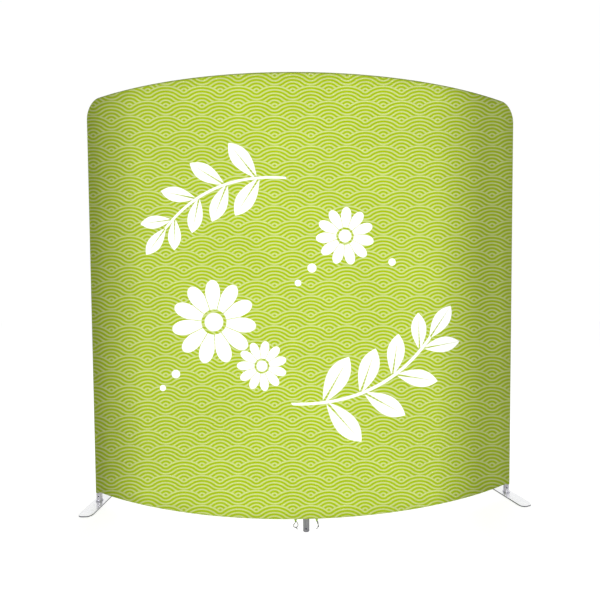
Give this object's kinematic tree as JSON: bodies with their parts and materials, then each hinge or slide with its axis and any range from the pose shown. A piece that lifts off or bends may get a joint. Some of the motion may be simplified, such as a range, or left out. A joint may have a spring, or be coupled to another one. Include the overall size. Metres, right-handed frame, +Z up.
{
  "type": "pop up display backwall",
  "caption": "Free-standing curved display wall: plug-together aluminium tube frame in a stretched cloth cover with a bottom zip, swivelling base plates and a centre leg.",
  "frame": {"origin": "on the floor under the centre leg, on the axis of its tube", "axes": "+Z up, +X along the wall, +Y to the hollow back; the wall bulges towards -Y"},
  "size_m": [2.5301, 0.5043, 2.3],
  "materials": {
    "tube": "satin",
    "fitting": "satin",
    "spring_steel": "satin",
    "button": "gloss",
    "plate": "satin",
    "mat": "matte",
    "plug": "matte",
    "cloth": "matte",
    "tape": "matte",
    "slider": "matte",
    "cord": "matte"
  },
  "bodies": {
    "frame": {"left_upright_lower": "tube", "left_upright_upper": "tube", "right_upright_lower": "tube", "right_upright_upper": "tube", "centre_upright_lower": "tube", "centre_upright_upper": "tube", "top_left_elbow": "tube", "top_right_elbow": "tube", "top_rail_left": "tube", "top_rail_right": "tube", "top_tee": "fitting", "bottom_rail_left": "tube", "bottom_rail_right": "tube", "left_rail_stub": "fitting", "right_rail_stub": "fitting", "centre_stub_left": "fitting", "centre_stub_right": "fitting", "left_sleeve": "fitting", "right_sleeve": "fitting", "centre_sleeve": "fitting", "sleeve_rivets": "fitting", "snap_strips": "spring_steel", "left_foot_post": "fitting", "right_foot_post": "fitting", "left_foot_screw": "spring_steel", "right_foot_screw": "spring_steel", "centre_foot_plug": "plug", "cover_front": "cloth", "cover_back": "cloth", "zip_tape_front": "tape", "zip_tape_back": "tape", "zip_chain_left": "tape", "zip_chain_right": "tape"},
    "left_foot": {"left_base_plate": "plate", "left_foot_mat": "mat"},
    "right_foot": {"right_base_plate": "plate", "right_foot_mat": "mat"},
    "slider_left": {"zip_slider_left": "slider", "pull_cord_left": "cord"},
    "slider_right": {"zip_slider_right": "slider", "pull_cord_right": "cord"},
    "left_foot_button": {"left_foot_button": "button"},
    "right_foot_button": {"right_foot_button": "button"},
    "centre_foot_button": {"centre_foot_button": "button"},
    "left_mid_button": {"left_mid_button": "button"},
    "right_mid_button": {"right_mid_button": "button"},
    "centre_mid_button": {"centre_mid_button": "button"},
    "left_elbow_button_lower": {"left_elbow_button_lower": "button"},
    "left_elbow_button_upper": {"left_elbow_button_upper": "button"},
    "right_elbow_button_lower": {"right_elbow_button_lower": "button"},
    "right_elbow_button_upper": {"right_elbow_button_upper": "button"},
    "tee_button_left": {"tee_button_left": "button"},
    "tee_button_right": {"tee_button_right": "button"},
    "tee_button_lower": {"tee_button_lower": "button"},
    "left_stub_button": {"left_stub_button": "button"},
    "right_stub_button": {"right_stub_button": "button"},
    "centre_stub_button_left": {"centre_stub_button_left": "button"},
    "centre_stub_button_right": {"centre_stub_button_right": "button"}
  },
  "joints": [
    {"name": "left_foot_swivel", "type": "hinge", "parent": "frame", "child": "left_foot", "pos_m": [-1.20399, 0.32503, 0], "axis": [0, 0, 1], "range_deg": [-28, 32]},
    {"name": "right_foot_swivel", "type": "hinge", "parent": "frame", "child": "right_foot", "pos_m": [1.20399, 0.32503, 0], "axis": [0, 0, 1], "range_deg": [-47, 13]},
    {"name": "left_zip_slide", "type": "hinge", "parent": "frame", "child": "slider_left", "pos_m": [0, 2.38, 0.0638], "axis": [0, 0, 1], "range_deg": [-26, 0], "deforming": ["zip_chain_left"]},
    {"name": "right_zip_slide", "type": "hinge", "parent": "frame", "child": "slider_right", "pos_m": [0, 2.38, 0.0638], "axis": [0, 0, 1], "range_deg": [0, 26], "deforming": ["zip_chain_right"]},
    {"name": "left_foot_button_press", "type": "slide", "parent": "frame", "child": "left_foot_button", "axis": [-0.2079, 0.9781, 0], "range_m": [0, 0.0046], "stiffness_N_per_m": 1500, "deforming": ["snap_strips"]},
    {"name": "right_foot_button_press", "type": "slide", "parent": "frame", "child": "right_foot_button", "axis": [0.2079, 0.9781, 0], "range_m": [0, 0.0046], "stiffness_N_per_m": 1500},
    {"name": "centre_foot_button_press", "type": "slide", "parent": "frame", "child": "centre_foot_button", "axis": [0, 1, 0], "range_m": [0, 0.0046], "stiffness_N_per_m": 1500},
    {"name": "left_mid_button_press", "type": "slide", "parent": "frame", "child": "left_mid_button", "axis": [-0.8813, 0.4726, 0], "range_m": [0, 0.0046], "stiffness_N_per_m": 1500},
    {"name": "right_mid_button_press", "type": "slide", "parent": "frame", "child": "right_mid_button", "axis": [0.8813, 0.4726, 0], "range_m": [0, 0.0046], "stiffness_N_per_m": 1500},
    {"name": "centre_mid_button_press", "type": "slide", "parent": "frame", "child": "centre_mid_button", "axis": [1, 0, 0], "range_m": [0, 0.0046], "stiffness_N_per_m": 1500},
    {"name": "left_elbow_button_lower_press", "type": "slide", "parent": "frame", "child": "left_elbow_button_lower", "axis": [-0.8813, 0.4726, 0], "range_m": [0, 0.0046], "stiffness_N_per_m": 1500},
    {"name": "left_elbow_button_upper_press", "type": "slide", "parent": "frame", "child": "left_elbow_button_upper", "axis": [0, 0, 1], "range_m": [0, 0.0046], "stiffness_N_per_m": 1500},
    {"name": "right_elbow_button_lower_press", "type": "slide", "parent": "frame", "child": "right_elbow_button_lower", "axis": [0.8813, 0.4726, 0], "range_m": [0, 0.0046], "stiffness_N_per_m": 1500},
    {"name": "right_elbow_button_upper_press", "type": "slide", "parent": "frame", "child": "right_elbow_button_upper", "axis": [0, 0, 1], "range_m": [0, 0.0046], "stiffness_N_per_m": 1500},
    {"name": "tee_button_left_press", "type": "slide", "parent": "frame", "child": "tee_button_left", "axis": [0, 0, 1], "range_m": [0, 0.0046], "stiffness_N_per_m": 1500},
    {"name": "tee_button_right_press", "type": "slide", "parent": "frame", "child": "tee_button_right", "axis": [0, 0, 1], "range_m": [0, 0.0046], "stiffness_N_per_m": 1500},
    {"name": "tee_button_lower_press", "type": "slide", "parent": "frame", "child": "tee_button_lower", "axis": [1, 0, 0], "range_m": [0, 0.0046], "stiffness_N_per_m": 1500},
    {"name": "left_stub_button_press", "type": "slide", "parent": "frame", "child": "left_stub_button", "axis": [0, 0, -1], "range_m": [0, 0.0046], "stiffness_N_per_m": 1500},
    {"name": "right_stub_button_press", "type": "slide", "parent": "frame", "child": "right_stub_button", "axis": [0, 0, -1], "range_m": [0, 0.0046], "stiffness_N_per_m": 1500},
    {"name": "centre_stub_button_left_press", "type": "slide", "parent": "frame", "child": "centre_stub_button_left", "axis": [0, 0, -1], "range_m": [0, 0.0046], "stiffness_N_per_m": 1500},
    {"name": "centre_stub_button_right_press", "type": "slide", "parent": "frame", "child": "centre_stub_button_right", "axis": [0, 0, -1], "range_m": [0, 0.0046], "stiffness_N_per_m": 1500}
  ]
}
